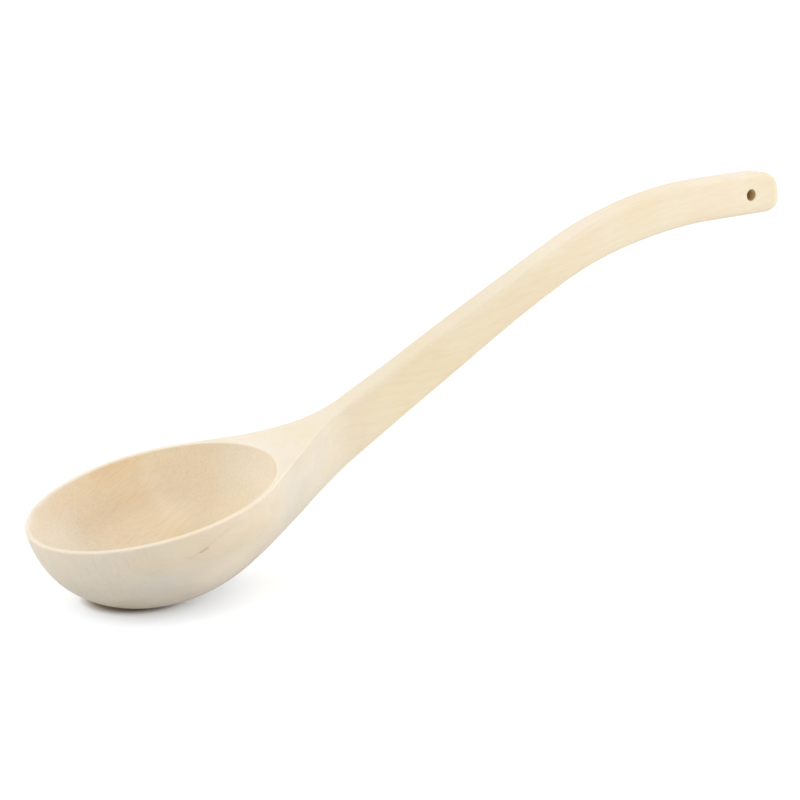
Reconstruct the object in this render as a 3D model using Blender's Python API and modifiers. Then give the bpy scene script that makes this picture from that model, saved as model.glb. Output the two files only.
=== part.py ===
"""Sauna ladle carved from one block of pale wood.

Metres, +Z up. The origin is the centre of the small flat under the bowl, +X runs
towards the end of the handle and the ladle is symmetric about the XZ plane.

The body is worked out in the rim's own frame, whose origin is the middle of the
bowl's rim: x runs along the rim plane towards the handle, z stands square to the
rim. The empty named rim_plane carries that frame, raised and tilted over the flat.
"""

from math import cos, radians, sin, tan

import bmesh
import bpy
import numpy as np

# Bowl, in the rim's frame
BOWL_RADIUS = 0.0592
BOWL_DEPTH = 0.0489
BOWL_FULLNESS_ALONG = 2.08
BOWL_FULLNESS_ACROSS = 1.9
RIM_WALL = 0.0032
LIP_ROUND = 0.0012
INNER_LIP_ROUND = 0.0008
HOLLOW_DEPTH = 0.0412
HOLLOW_FULLNESS = 2.05

# How the bowl stands
RIM_TILT = radians(13.2)
FLAT_CUT = 0.0015

# Neck, between the bowl and the handle
NECK_ANGLE = radians(50.0)
NECK_LENGTH = 0.0416
UNDERSIDE_START = 0.0167
UNDERSIDE_LENGTH = 0.1279
SQUARING_START = 0.026
SQUARING_LENGTH = 0.118

# Handle
LADLE_REACH = 0.3848
HANDLE_WIDTH = 0.0154
HANDLE_END_WIDTH = 0.0147
HANDLE_NECK_DEPTH = 0.0239
HANDLE_WAIST_DEPTH = 0.0191
HANDLE_END_DEPTH = 0.0221
WAIST_POSITION = 0.2259
WAIST_RUN_IN = 0.110
WAIST_RUN_OUT = 0.085
HANDLE_FULLNESS = 4.4
EDGE_ROUND = 0.0020
EDGE_ROUND_RUN = 0.040

# Top edge of the handle: an arc off the rim, a straight rise, an arc over, a straight end
RISE_START = 0.0514
RISE_RADIUS = 0.2054
RISE_ANGLE = radians(14.84)
CREST_START = 0.2355
CREST_RADIUS = 0.2387
CREST_LENGTH = 0.1032

# End of the handle and its hanging hole
TIP_TOP_ROUND = 0.0117
TIP_BOTTOM_ROUND = 0.0106
TIP_SIDE_ROUND = 0.0060
HOLE_RADIUS = 0.0030
HOLE_FROM_TIP = 0.0218
HOLE_DOWN_FROM_TOP = 0.0113

# Cross-sections, facets and cutters
FAR_STATION_ANGLE = radians(177.3)
NEAR_STATION_ANGLE = radians(75.6)
TIP_CAP_SETBACK = 0.00005
EDGE_SHARE_OF_WIDTH = 0.9
EDGE_SHARE_OF_DEPTH = 0.45
BOWL_STATIONS = 22
HANDLE_STATIONS = 44
TIP_STATIONS = 7
EDGE_POINTS = 4
SIDE_POINTS = 11
HOLLOW_STEPS = 48
HOLLOW_POINTS = 14
LIP_POINTS = 4
HOLE_SIDES = 24
OUTLINE_SAMPLES = 4000
SLOPE_STEP = 0.0001
SMOOTH_ANGLE = radians(35.0)
CUTTER_MARGIN = 0.010

WOOD_COLOUR = (0.86, 0.74, 0.57, 1.0)
WOOD_ROUGHNESS = 0.62


def ease(t):
    """Smooth step from 0 to 1, level at both ends."""
    t = np.clip(t, 0.0, 1.0)
    return t * t * (3.0 - 2.0 * t)


def cubic_join(x, start, end, values, slopes):
    """Cubic from start to end that has the given values and slopes at its two ends."""
    length = end - start
    t = np.clip((x - start) / length, 0.0, 1.0)
    from_start = (2 * t**3 - 3 * t**2 + 1) * values[0] + (t**3 - 2 * t**2 + t) * length * slopes[0]
    to_end = (3 * t**2 - 2 * t**3) * values[1] + (t**3 - t**2) * length * slopes[1]
    return from_start + to_end


def corner(x, end, radius):
    """How far a quarter round of this radius has fallen away at x, short of the end."""
    inside = np.clip(x - (end - radius), 0.0, radius)
    return radius - np.sqrt(radius**2 - inside**2)


def top_line(x):
    """Height of the top: level with the rim, an arc up, a straight rise, an arc over, straight."""
    arc_end = RISE_START + RISE_RADIUS * sin(RISE_ANGLE)
    arc_height = RISE_RADIUS * (1.0 - cos(RISE_ANGLE))
    crest_height = arc_height + tan(RISE_ANGLE) * (CREST_START - arc_end)
    crest_x = CREST_START + CREST_RADIUS * sin(RISE_ANGLE)
    crest_z = crest_height - CREST_RADIUS * cos(RISE_ANGLE)
    run = np.clip(x - RISE_START, 0.0, arc_end - RISE_START)
    rise = RISE_RADIUS - np.sqrt(RISE_RADIUS**2 - run**2)
    straight = arc_height + tan(RISE_ANGLE) * (x - arc_end)
    across = np.clip(x, CREST_START, CREST_START + CREST_LENGTH) - crest_x
    over = crest_z + np.sqrt(CREST_RADIUS**2 - across**2)
    end_slope = -across / np.sqrt(CREST_RADIUS**2 - across**2)
    over = over + end_slope * np.clip(x - CREST_START - CREST_LENGTH, 0.0, None)
    return np.where(x < arc_end, rise, np.where(x < CREST_START, straight, over))


def handle_underside(x):
    """Top line less the handle's depth, which narrows to a waist and swells again."""
    run_in = ease((WAIST_POSITION - x) / WAIST_RUN_IN)
    run_out = ease((x - WAIST_POSITION) / WAIST_RUN_OUT)
    depth = HANDLE_WAIST_DEPTH + (HANDLE_NECK_DEPTH - HANDLE_WAIST_DEPTH) * run_in
    depth = depth + (HANDLE_END_DEPTH - HANDLE_WAIST_DEPTH) * run_out
    slope = slope_of(top_line, x)
    return top_line(x) - depth * np.sqrt(1.0 + slope**2)


def bowl_underside(x):
    """Lowest line of the bowl: a superellipse hung from the rim."""
    share = np.clip(np.abs(x) / BOWL_RADIUS, 0.0, 1.0)
    fall = (1.0 - share**BOWL_FULLNESS_ALONG) ** (1.0 / BOWL_FULLNESS_ALONG)
    return -LIP_ROUND - (BOWL_DEPTH - LIP_ROUND) * fall


def slope_of(line, x):
    """Slope of a line at x, by a small central difference."""
    return (line(x + SLOPE_STEP) - line(x - SLOPE_STEP)) / (2.0 * SLOPE_STEP)


def underside(x):
    """The bowl's lowest line, a cubic under the neck, then the handle's underside."""
    start = UNDERSIDE_START
    end = UNDERSIDE_START + UNDERSIDE_LENGTH
    values = (bowl_underside(start), handle_underside(end))
    slopes = (slope_of(bowl_underside, start), slope_of(handle_underside, end))
    neck = cubic_join(x, start, end, values, slopes)
    return np.where(x < start, bowl_underside(x), np.where(x < end, neck, handle_underside(x)))


def half_width(x):
    """Half of the plan's width: the rim's circle, the flare of the neck, the handle's taper."""
    leave_x = BOWL_RADIUS * cos(NECK_ANGLE)
    leave_y = BOWL_RADIUS * sin(NECK_ANGLE)
    neck_end = BOWL_RADIUS + NECK_LENGTH
    taper = 0.5 * (HANDLE_END_WIDTH - HANDLE_WIDTH) / (LADLE_REACH - neck_end)
    circle = np.sqrt(np.clip(BOWL_RADIUS**2 - x**2, 0.0, None))
    flare = cubic_join(x, leave_x, neck_end, (leave_y, 0.5 * HANDLE_WIDTH), (-leave_x / leave_y, taper))
    handle = 0.5 * HANDLE_WIDTH + taper * (x - neck_end)
    return np.where(x < leave_x, circle, np.where(x < neck_end, flare, handle))


def tip_rounds():
    """Radii of the tip's top, bottom and side rounds, drawn in where they would meet each other."""
    depth = top_line(LADLE_REACH) - handle_underside(LADLE_REACH)
    share = min(1.0, float(depth) / (TIP_TOP_ROUND + TIP_BOTTOM_ROUND))
    side = min(TIP_SIDE_ROUND, float(half_width(LADLE_REACH)))
    return share * TIP_TOP_ROUND, share * TIP_BOTTOM_ROUND, side


def stations():
    """Places of the cross-sections: close together at the bowl's far end and at the tip."""
    angles = np.linspace(FAR_STATION_ANGLE, NEAR_STATION_ANGLE, BOWL_STATIONS)
    bowl = BOWL_RADIUS * np.cos(angles)
    tip_run = max(tip_rounds())
    tip_start = LADLE_REACH - tip_run
    handle = np.linspace(bowl[-1], tip_start, HANDLE_STATIONS)[1:]
    turns = np.linspace(0.0, 0.5 * np.pi, TIP_STATIONS)[1:]
    tip = tip_start + (tip_run - TIP_CAP_SETBACK) * np.sin(turns)
    return np.concatenate([bowl, handle, tip])


def sections(x):
    """Right half of every cross-section, from the top's edge round and down to the keel.

    The top ends in a quarter round. Below it the side is a superellipse, which is as
    full as the bowl at the bowl and squarer along the handle.
    """
    top_round, bottom_round, side_round = tip_rounds()
    top = top_line(x) - corner(x, LADLE_REACH, top_round)
    bottom = underside(x) + corner(x, LADLE_REACH, bottom_round)
    width = half_width(x) - corner(x, LADLE_REACH, side_round)
    squaring = ease((x - SQUARING_START) / SQUARING_LENGTH)
    power = 2.0 / (BOWL_FULLNESS_ACROSS + (HANDLE_FULLNESS - BOWL_FULLNESS_ACROSS) * squaring)
    edge = LIP_ROUND + (EDGE_ROUND - LIP_ROUND) * ease((x - BOWL_RADIUS) / EDGE_ROUND_RUN)
    edge = np.minimum(edge, EDGE_SHARE_OF_WIDTH * width)
    edge = np.minimum(edge, EDGE_SHARE_OF_DEPTH * (top - bottom))
    turn = np.linspace(0.0, 0.5 * np.pi, EDGE_POINTS)[:, None]
    edge_y = width - edge * (1.0 - np.sin(turn))
    edge_z = top - edge * (1.0 - np.cos(turn))
    sweep = np.linspace(0.0, 0.5 * np.pi, SIDE_POINTS)[1:, None]
    side_y = width * np.abs(np.cos(sweep)) ** power
    side_z = top - edge - (top - edge - bottom) * np.sin(sweep) ** power
    side_y[-1] = 0.0
    return np.concatenate([edge_y, side_y]).T, np.concatenate([edge_z, side_z]).T


def rings():
    """Closed cross-sections of the whole body, as an array of station, point and xyz."""
    x = stations()
    y, z = sections(x)
    along = np.repeat(x[:, None], y.shape[1], axis=1)
    right = np.stack([along, -y, z], axis=-1)
    left = np.stack([along, y, z], axis=-1)[:, -2::-1]
    return np.concatenate([right, left], axis=1)


def new_collection(name):
    collection = bpy.data.collections.new(name)
    bpy.context.scene.collection.children.link(collection)
    return collection


def add_mesh(name, mesh, collection, parent=None):
    piece = bpy.data.objects.new(name, mesh)
    collection.objects.link(piece)
    piece.parent = parent
    return piece


def wood_material():
    material = bpy.data.materials.new("pale_wood")
    material.use_nodes = True
    shader = material.node_tree.nodes["Principled BSDF"]
    shader.inputs["Base Color"].default_value = WOOD_COLOUR
    shader.inputs["Roughness"].default_value = WOOD_ROUGHNESS
    shader.inputs["Metallic"].default_value = 0.0
    material.diffuse_color = WOOD_COLOUR
    return material


def body_mesh():
    """Loft through the cross-sections, with a flat cap on each end."""
    grid = rings()
    count, around, _ = grid.shape
    shell = bmesh.new()
    rows = [[shell.verts.new(point) for point in ring] for ring in grid]
    for first, second in zip(rows[:-1], rows[1:]):
        for here in range(around):
            after = (here + 1) % around
            shell.faces.new((first[here], first[after], second[after], second[here]))
    shell.faces.new(rows[0])
    shell.faces.new(rows[count - 1])
    bmesh.ops.recalc_face_normals(shell, faces=shell.faces)
    mesh = bpy.data.meshes.new("ladle")
    shell.to_mesh(mesh)
    shell.free()
    mesh.shade_smooth()
    mesh.set_sharp_from_angle(angle=SMOOTH_ANGLE)
    return mesh


def hollow_profile():
    """Half outline of the hollow, from above the rim, over the rounded lip, to the bottom."""
    inner = BOWL_RADIUS - RIM_WALL
    mouth = inner + INNER_LIP_ROUND
    points = [(0.0, CUTTER_MARGIN), (mouth, CUTTER_MARGIN)]
    for step in range(LIP_POINTS + 1):
        turn = 0.5 * np.pi * step / LIP_POINTS
        points.append((mouth - INNER_LIP_ROUND * sin(turn), -INNER_LIP_ROUND * (1.0 - cos(turn))))
    power = 2.0 / HOLLOW_FULLNESS
    for step in range(1, HOLLOW_POINTS):
        turn = 0.5 * np.pi * step / HOLLOW_POINTS
        fall = (HOLLOW_DEPTH - INNER_LIP_ROUND) * sin(turn) ** power
        points.append((inner * cos(turn) ** power, -INNER_LIP_ROUND - fall))
    points.append((0.0, -HOLLOW_DEPTH))
    return points


def hide_cutter(cutter):
    cutter.hide_render = True
    cutter.display_type = "WIRE"


def hollow_cutter(collection, parent):
    """The bowl's hollow, turned about the square to the rim."""
    points = [(r, 0.0, z) for r, z in hollow_profile()]
    edges = [(i, i + 1) for i in range(len(points) - 1)]
    mesh = bpy.data.meshes.new("bowl_hollow")
    mesh.from_pydata(points, edges, [])
    cutter = add_mesh("bowl_hollow", mesh, collection, parent)
    turn = cutter.modifiers.new("turn", "SCREW")
    turn.axis = "Z"
    turn.angle = radians(360.0)
    turn.steps = HOLLOW_STEPS
    turn.render_steps = HOLLOW_STEPS
    turn.use_merge_vertices = True
    turn.merge_threshold = 0.00001
    hide_cutter(cutter)
    return cutter


def hole_cutter(collection, parent):
    """The hanging hole, drilled across the handle near its end."""
    drill = bmesh.new()
    length = HANDLE_WIDTH + 2.0 * CUTTER_MARGIN
    bmesh.ops.create_cone(
        drill, cap_ends=True, segments=HOLE_SIDES, radius1=HOLE_RADIUS, radius2=HOLE_RADIUS, depth=length
    )
    mesh = bpy.data.meshes.new("hanging_hole")
    drill.to_mesh(mesh)
    drill.free()
    cutter = add_mesh("hanging_hole", mesh, collection, parent)
    hole_x = LADLE_REACH - HOLE_FROM_TIP
    hole_z = float(top_line(hole_x)) - HOLE_DOWN_FROM_TOP
    cutter.location = (hole_x, 0.0, hole_z)
    cutter.rotation_euler = (radians(90.0), 0.0, 0.0)
    hide_cutter(cutter)
    return cutter


def flat_cutter(collection):
    """Everything below the plane that the ladle stands on."""
    block = bmesh.new()
    bmesh.ops.create_cube(block, size=2.0 * (BOWL_RADIUS + CUTTER_MARGIN))
    mesh = bpy.data.meshes.new("standing_plane")
    block.to_mesh(mesh)
    block.free()
    cutter = add_mesh("standing_plane", mesh, collection)
    cutter.location = (0.0, 0.0, -(BOWL_RADIUS + CUTTER_MARGIN))
    hide_cutter(cutter)
    return cutter


def cut(piece, cutter):
    boolean = piece.modifiers.new(cutter.name, "BOOLEAN")
    boolean.operation = "DIFFERENCE"
    boolean.solver = "EXACT"
    boolean.object = cutter


def rim_place():
    """Where the rim's middle lies over the flat, from the lowest point of the tilted bowl."""
    x = np.linspace(-BOWL_RADIUS, BOWL_RADIUS, OUTLINE_SAMPLES)
    z = underside(x)
    height = x * sin(RIM_TILT) + z * cos(RIM_TILT)
    lowest = int(np.argmin(height))
    along = x[lowest] * cos(RIM_TILT) - z[lowest] * sin(RIM_TILT)
    return (-float(along), 0.0, -float(height[lowest]) - FLAT_CUT)


def add_rim_plane(collection):
    """Empty at the rim's middle, tilted so that the rim rises towards the handle."""
    rim = bpy.data.objects.new("rim_plane", None)
    collection.objects.link(rim)
    rim.location = rim_place()
    rim.rotation_euler = (0.0, -RIM_TILT, 0.0)
    return rim


def build():
    for old in list(bpy.data.objects):
        bpy.data.objects.remove(old, do_unlink=True)
    parts = new_collection("sauna_ladle")
    cutters = new_collection("cutters")
    rim = add_rim_plane(parts)
    ladle = add_mesh("ladle", body_mesh(), parts, rim)
    ladle.data.materials.append(wood_material())
    cut(ladle, hollow_cutter(cutters, rim))
    cut(ladle, hole_cutter(cutters, rim))
    cut(ladle, flat_cutter(cutters))


build()
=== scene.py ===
"""Looks of a sauna ladle carved from one block of pale wood.

Lengths are metres. The carved surface is worked out in the rim's own frame: its
origin is the middle of the bowl's rim, x runs along the rim plane towards the
handle and z stands square to the rim. That frame is raised and tilted over the
flat that the ladle stands on, which is the origin of the finished piece.
"""

from math import cos, pi, radians, sin, tan

import bmesh
import bpy
import numpy as np
from mathutils import Matrix, Vector


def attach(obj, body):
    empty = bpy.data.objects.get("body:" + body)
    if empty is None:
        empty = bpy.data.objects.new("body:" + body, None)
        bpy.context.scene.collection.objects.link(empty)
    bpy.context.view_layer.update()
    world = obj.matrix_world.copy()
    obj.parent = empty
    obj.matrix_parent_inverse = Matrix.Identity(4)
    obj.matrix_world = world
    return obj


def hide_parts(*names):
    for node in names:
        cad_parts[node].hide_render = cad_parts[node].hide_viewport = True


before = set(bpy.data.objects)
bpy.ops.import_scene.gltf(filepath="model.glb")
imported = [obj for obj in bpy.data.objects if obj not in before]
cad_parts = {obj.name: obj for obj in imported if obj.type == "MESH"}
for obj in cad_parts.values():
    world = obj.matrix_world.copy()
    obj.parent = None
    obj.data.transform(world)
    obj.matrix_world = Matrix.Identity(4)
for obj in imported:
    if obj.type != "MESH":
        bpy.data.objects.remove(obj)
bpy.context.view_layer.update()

# Bowl, in the rim's frame
BOWL_RADIUS = 0.0592
BOWL_DEPTH = 0.0489
BOWL_FULLNESS_ALONG = 2.08
BOWL_FULLNESS_ACROSS = 1.9
LIP_ROUND = 0.0012
INNER_LIP_WIDTH = 0.0010
INNER_LIP_DEPTH = 0.0010
TOE_LIP_WIDTH = 0.0019
TOE_LIP_DEPTH = 0.0034
HOLLOW_RADIUS = 0.0560
HOLLOW_DEPTH = 0.0412
HOLLOW_FULLNESS = 2.05
RIM_TILT = radians(13.2)
FLAT_CUT = 0.0015
FLAT_EDGE_SOFTNESS = 0.0003

# Neck and handle, with a hair sanded off the handle's top and end
NECK_ANGLE = radians(50.0)
NECK_LENGTH = 0.0416
UNDERSIDE_START = 0.0167
UNDERSIDE_LENGTH = 0.1279
SQUARING_START = 0.026
SQUARING_LENGTH = 0.118
SANDED_OFF = 0.00004
LADLE_REACH = 0.3848 - SANDED_OFF
HANDLE_WIDTH = 0.0154
HANDLE_END_WIDTH = 0.0147
HANDLE_NECK_DEPTH = 0.0239
HANDLE_WAIST_DEPTH = 0.0191
HANDLE_END_DEPTH = 0.0221
WAIST_POSITION = 0.2259
WAIST_RUN_IN = 0.110
WAIST_RUN_OUT = 0.085
HANDLE_FULLNESS = 4.4

# Rounding of the long top edges: full on the neck, tighter along the middle, full again at the end
NECK_EDGE_ROUND = 0.0032
MIDDLE_EDGE_ROUND = 0.0018
END_EDGE_ROUND = 0.0024
EDGE_ROUND_RUN = 0.055
NECK_EDGE_END = 0.130
NECK_EDGE_RUN = 0.045
END_EDGE_START = 0.245
END_EDGE_RUN = 0.080

# Top edge of the handle, its end and the hanging hole
RISE_START = 0.0514
RISE_RADIUS = 0.2054
RISE_ANGLE = radians(14.84)
CREST_START = 0.2355
CREST_RADIUS = 0.2387
CREST_LENGTH = 0.1032
TIP_TOP_ROUND = 0.0117
TIP_BOTTOM_ROUND = 0.0106
TIP_SIDE_ROUND = 0.0060
HOLE_RADIUS = 0.0030
HOLE_FROM_TIP = 0.0218
HOLE_DOWN_FROM_TOP = 0.0113
HOLE_EDGE_ROUND = 0.0003

# How far the drill reaches past the middle, in half-widths of the handle
DRILL_REACH = 2.0

# How far short of the reach the last section lies, where the end's rounds are still open
TIP_SHORTENING = 0.0001

# Fineness of the grids and of the sums that make them
BOWL_STEPS = 60
HANDLE_STEPS = 150
TIP_STEPS = 14
SIDE_STEPS = 40
EDGE_STEPS = 8
TOP_STEPS = 12
HOLLOW_STEPS = 44
CAP_STEPS = 4
HOLE_SIDES = 72
HOLE_EDGE_STEPS = 4
SLOPE_STEP = 0.0001
OUTLINE_SAMPLES = 4000
WELD_DISTANCE = 0.000001
SMOOTH_ANGLE = radians(40.0)
NEARLY_ZERO = 1e-12

# Powers that draw the rows together at the start of a flat top and of the handle
TOP_CROWDING = 1.5
HANDLE_CROWDING = 1.25

# Most of a section's half-width and depth that the round of its top edge may take
EDGE_SHARE_OF_WIDTH = 0.9
EDGE_SHARE_OF_DEPTH = 0.45

# Where the regions of the surface begin and how fast they take over
HOLLOW_MEASURE_END = 1.10
HOLLOW_MEASURE_RUN = 0.04
WALL_START = 0.0001
WALL_RUN = 0.0008
FLANK_SPREAD = 0.0040
# Near the neck the flanks' tint, with its painted shade, reaches partly over the top
FLANK_SHARE_ON_TOP = 0.35
TOP_SHARE_KEPT = 0.180
TOP_SHARE_RUN = 0.130
FLANK_FROM = 0.050
FLANK_TAKEOVER = 0.080

# Camera: the photograph's viewing angle, and where the middle of the rim lies in it
PICTURE_SIZE = 800.0
FOCAL_PIXELS = 1900.0
SENSOR_WIDTH = 36.0
VIEW_AZIMUTH = radians(32.63)
VIEW_ELEVATION = radians(12.94)
VIEW_DEPTH = 0.8525
RIM_PIXEL_X = 154.38
RIM_PIXEL_Y = 493.11


def ease(t):
    """Smooth step from 0 to 1: three times the square less twice the cube."""
    t = np.clip(t, 0.0, 1.0)
    return t * t * (3.0 - 2.0 * t)


def cubic_join(x, start, end, values, slopes):
    """Cubic from start to end that has the given values and slopes at its two ends."""
    length = end - start
    t = np.clip((x - start) / length, 0.0, 1.0)
    from_start = (2 * t**3 - 3 * t**2 + 1) * values[0] + (t**3 - 2 * t**2 + t) * length * slopes[0]
    to_end = (3 * t**2 - 2 * t**3) * values[1] + (t**3 - t**2) * length * slopes[1]
    return from_start + to_end


def corner(x, end, radius):
    """How far a quarter round of this radius has fallen away at x, short of the end."""
    inside = np.clip(x - (end - radius), 0.0, radius)
    return radius - np.sqrt(radius**2 - inside**2)


def top_line(x):
    """Height of the top: level with the rim, an arc up, a straight rise, an arc over, straight."""
    arc_end = RISE_START + RISE_RADIUS * sin(RISE_ANGLE)
    arc_height = RISE_RADIUS * (1.0 - cos(RISE_ANGLE))
    crest_height = arc_height + tan(RISE_ANGLE) * (CREST_START - arc_end)
    crest_x = CREST_START + CREST_RADIUS * sin(RISE_ANGLE)
    crest_z = crest_height - CREST_RADIUS * cos(RISE_ANGLE)
    run = np.clip(x - RISE_START, 0.0, arc_end - RISE_START)
    rise = RISE_RADIUS - np.sqrt(RISE_RADIUS**2 - run**2)
    straight = arc_height + tan(RISE_ANGLE) * (x - arc_end)
    across = np.clip(x, CREST_START, CREST_START + CREST_LENGTH) - crest_x
    over = crest_z + np.sqrt(CREST_RADIUS**2 - across**2)
    end_slope = -across / np.sqrt(CREST_RADIUS**2 - across**2)
    over = over + end_slope * np.clip(x - CREST_START - CREST_LENGTH, 0.0, None)
    return np.where(x < arc_end, rise, np.where(x < CREST_START, straight, over))


def handle_underside(x):
    """Top line less the handle's depth, which narrows to a waist and swells again."""
    run_in = ease((WAIST_POSITION - x) / WAIST_RUN_IN)
    run_out = ease((x - WAIST_POSITION) / WAIST_RUN_OUT)
    depth = HANDLE_WAIST_DEPTH + (HANDLE_NECK_DEPTH - HANDLE_WAIST_DEPTH) * run_in
    depth = depth + (HANDLE_END_DEPTH - HANDLE_WAIST_DEPTH) * run_out
    slope = slope_of(top_line, x)
    return top_line(x) - depth * np.sqrt(1.0 + slope**2)


def superellipse(share, fullness):
    """Height over the axis of a unit superellipse, at this share of its half-width."""
    return (1.0 - np.clip(np.abs(share), 0.0, 1.0) ** fullness) ** (1.0 / fullness)


def bowl_underside(x):
    """Lowest line of the bowl: a superellipse hung from the rim."""
    return -LIP_ROUND - (BOWL_DEPTH - LIP_ROUND) * superellipse(x / BOWL_RADIUS, BOWL_FULLNESS_ALONG)


def slope_of(line, x):
    """Slope of a line at x, by a small central difference."""
    return (line(x + SLOPE_STEP) - line(x - SLOPE_STEP)) / (2.0 * SLOPE_STEP)


def underside(x):
    """The bowl's lowest line, a cubic under the neck, then the handle's underside."""
    start = UNDERSIDE_START
    end = UNDERSIDE_START + UNDERSIDE_LENGTH
    values = (bowl_underside(start), handle_underside(end))
    slopes = (slope_of(bowl_underside, start), slope_of(handle_underside, end))
    neck = cubic_join(x, start, end, values, slopes)
    return np.where(x < start, bowl_underside(x), np.where(x < end, neck, handle_underside(x)))


def half_width(x):
    """Half of the plan's width: the rim's circle, the flare of the neck, the handle's taper."""
    leave_x = BOWL_RADIUS * cos(NECK_ANGLE)
    leave_y = BOWL_RADIUS * sin(NECK_ANGLE)
    neck_end = BOWL_RADIUS + NECK_LENGTH
    taper = 0.5 * (HANDLE_END_WIDTH - HANDLE_WIDTH) / (LADLE_REACH - neck_end)
    circle = np.sqrt(np.clip(BOWL_RADIUS**2 - x**2, 0.0, None))
    flare = cubic_join(x, leave_x, neck_end, (leave_y, 0.5 * HANDLE_WIDTH), (-leave_x / leave_y, taper))
    handle = 0.5 * HANDLE_WIDTH + taper * (x - neck_end)
    return np.where(x < leave_x, circle, np.where(x < neck_end, flare, handle))


def rim_height(x):
    """Top line with the end of the handle rounded off, and a hair sanded away past the bowl."""
    sanded = SANDED_OFF * ease((x - BOWL_RADIUS) / EDGE_ROUND_RUN)
    return top_line(x) - corner(x, LADLE_REACH, TIP_TOP_ROUND) - sanded


def rim_place():
    """Where the rim's middle lies over the flat, from the lowest point of the tilted bowl."""
    x = np.linspace(-BOWL_RADIUS, BOWL_RADIUS, OUTLINE_SAMPLES)
    z = underside(x)
    height = x * sin(RIM_TILT) + z * cos(RIM_TILT)
    lowest = int(np.argmin(height))
    along = x[lowest] * cos(RIM_TILT) - z[lowest] * sin(RIM_TILT)
    return np.array([-along, 0.0, -height[lowest] - FLAT_CUT])


def stand(points):
    """Rim frame to the finished place: turned up by the rim's tilt and raised over the flat.

    What would reach under the flat is flattened, with a small soft edge around it.
    """
    place = rim_place()
    x = points[..., 0] * cos(RIM_TILT) - points[..., 2] * sin(RIM_TILT) + place[0]
    z = points[..., 0] * sin(RIM_TILT) + points[..., 2] * cos(RIM_TILT) + place[2]
    z = 0.5 * (z + np.sqrt(z**2 + FLAT_EDGE_SOFTNESS**2))
    return np.stack([x, points[..., 1] + place[1], z], axis=-1)


def lay_back(points):
    """Finished place to rim frame, the way back from stand."""
    place = rim_place()
    along = points[..., 0] - place[0]
    up = points[..., 2] - place[2]
    x = along * cos(RIM_TILT) + up * sin(RIM_TILT)
    z = up * cos(RIM_TILT) - along * sin(RIM_TILT)
    return np.stack([x, points[..., 1] - place[1], z], axis=-1)


def side_angles():
    """Directions round a section's side, from the keel up to the start of the edge's round."""
    return np.linspace(0.5 * pi, 0.0, SIDE_STEPS + 1)


def side_shape(angles, fullness):
    """Unit superellipse by direction: its share of the half-width and of the depth."""
    across = np.cos(angles)
    down = np.sin(angles)
    across[np.abs(across) < NEARLY_ZERO] = 0.0
    size = (across**fullness + down**fullness) ** (1.0 / fullness)
    return across / size, down / size


def inner_lip(bearing):
    """Width and depth of the quarter round inside the lip: small by the handle, fuller at the toe.

    Both grow by the smooth step from the bowl's sides, at a bearing of 90 degrees, to the
    toe, at 180 degrees.
    """
    growth = ease((np.abs(bearing) - 0.5 * pi) / (0.5 * pi))
    width = INNER_LIP_WIDTH + (TOE_LIP_WIDTH - INNER_LIP_WIDTH) * growth
    depth = INNER_LIP_DEPTH + (TOE_LIP_DEPTH - INNER_LIP_DEPTH) * growth
    return width, depth


def bowl_fan():
    """Toe's half of the bowl: columns round the rim's middle, each from the keel to the mouth.

    A wall point stands over x and y of the plan, and hangs below the rim by the product of
    the lengthwise superellipse at x and the crosswise one at y's share of the half-width there.
    """
    bearing = np.linspace(pi, 0.5 * pi, BOWL_STEPS + 1)[:, None]
    out, _ = side_shape(side_angles(), BOWL_FULLNESS_ACROSS)
    radius = BOWL_RADIUS * out[None, :]
    x = radius * np.cos(bearing)
    y = radius * np.sin(bearing)
    reach = np.sqrt(np.clip(BOWL_RADIUS**2 - x**2, NEARLY_ZERO, None))
    fall = superellipse(x / BOWL_RADIUS, BOWL_FULLNESS_ALONG) * superellipse(y / reach, BOWL_FULLNESS_ACROSS)
    wall = np.stack([x, y, -LIP_ROUND - (BOWL_DEPTH - LIP_ROUND) * fall], axis=-1)
    turn = np.linspace(0.0, 0.5 * pi, EDGE_STEPS + 1)[1:]
    edge_radius = BOWL_RADIUS - LIP_ROUND * (1.0 - np.cos(turn))
    edge_height = -LIP_ROUND * (1.0 - np.sin(turn))
    mouth = HOLLOW_RADIUS + inner_lip(bearing)[0]
    flat_radius = BOWL_RADIUS - LIP_ROUND + (mouth - BOWL_RADIUS + LIP_ROUND) * top_shares()
    lip_radius = np.concatenate([edge_radius + 0.0 * bearing, flat_radius], axis=1)
    lip_height = np.concatenate([edge_height, np.zeros(TOP_STEPS)])
    lip = np.stack(
        [lip_radius * np.cos(bearing), lip_radius * np.sin(bearing), lip_height + 0.0 * bearing], axis=-1
    )
    return np.concatenate([wall, lip], axis=1)


def top_shares():
    """Shares of the way over a flat top: close to its edge at first, then even."""
    even = np.linspace(0.0, 1.0, TOP_STEPS + 1)[1:]
    return even**TOP_CROWDING


def stations():
    """Places of the sections, in two rows: those along the mouth, then those of neck and handle."""
    bearing = np.linspace(0.5 * pi, 0.0, BOWL_STEPS + 1)[1:]
    mouth = (HOLLOW_RADIUS + INNER_LIP_WIDTH) * np.cos(bearing)
    tip_start = LADLE_REACH - max(TIP_TOP_ROUND, TIP_BOTTOM_ROUND)
    shares = np.linspace(0.0, 1.0, HANDLE_STEPS + 1)[1:] ** HANDLE_CROWDING
    handle = mouth[-1] + (tip_start - mouth[-1]) * shares
    turns = np.linspace(0.0, 0.5 * pi, TIP_STEPS + 1)[1:]
    tip = tip_start + (LADLE_REACH - TIP_SHORTENING - tip_start) * np.sin(turns)
    return mouth, np.concatenate([handle, tip])


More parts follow.
